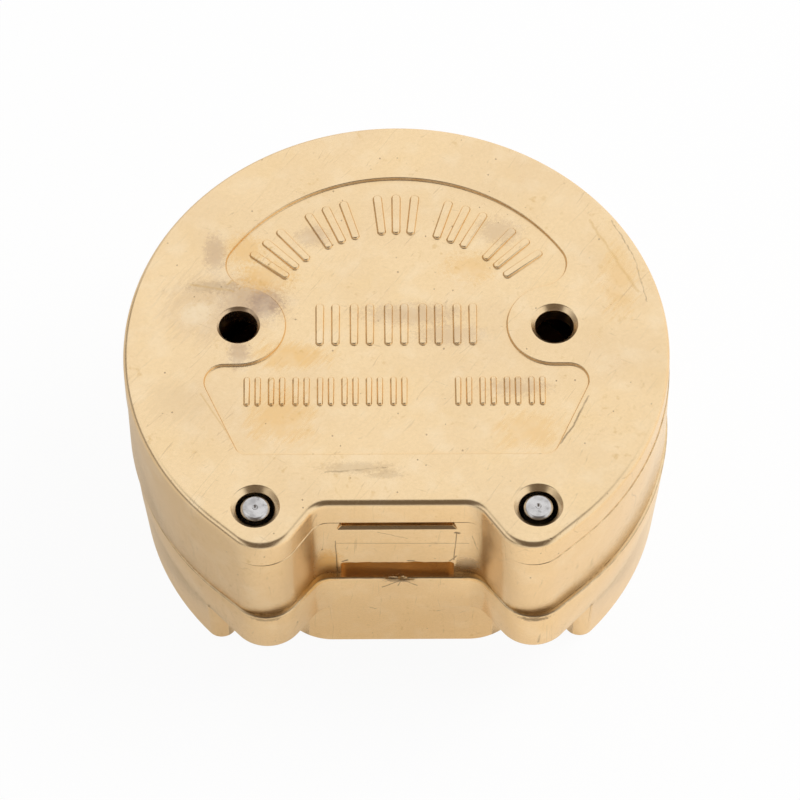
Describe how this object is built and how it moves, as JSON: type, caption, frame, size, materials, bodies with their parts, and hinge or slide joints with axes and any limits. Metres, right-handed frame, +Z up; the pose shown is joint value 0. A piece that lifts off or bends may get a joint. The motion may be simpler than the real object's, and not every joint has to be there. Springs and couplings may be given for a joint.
{
  "type": "dental flask",
  "caption": "Cast brass denture flask, closed and upside down: round plan with an eared front notch, pinned halves, ejector holes, sunk face panel, lid and loose knock-out plate.",
  "frame": {"origin": "centre of the box around the closed flask, on the ground that its foot stands on", "axes": "+X to the right ear, the ears and the notch look along -Y, +Z up through the outer face of the lower half"},
  "size_m": [0.1005, 0.0936, 0.046],
  "materials": {
    "cast_brass": "pale gold cast brass, satin, with faint tarnish, scratches and small pits",
    "pin_steel": "turned bright steel, slightly smeared"
  },
  "bodies": {
    "upper": {"upper_half": "cast_brass", "lid": "cast_brass", "guide_pin_left": "pin_steel", "guide_pin_right": "pin_steel"},
    "lower": {"lower_half": "cast_brass"},
    "ejector": {"ejector_plate": "cast_brass"}
  },
  "joints": [
    {"name": "lower_half_lift", "type": "slide", "parent": "upper", "child": "lower", "axis": [0, 0, 1], "range_m": [0, 0.023]},
    {"name": "ejector_push", "type": "slide", "parent": "upper", "child": "ejector", "axis": [0, 0, 1], "range_m": [0, 0.035]}
  ]
}
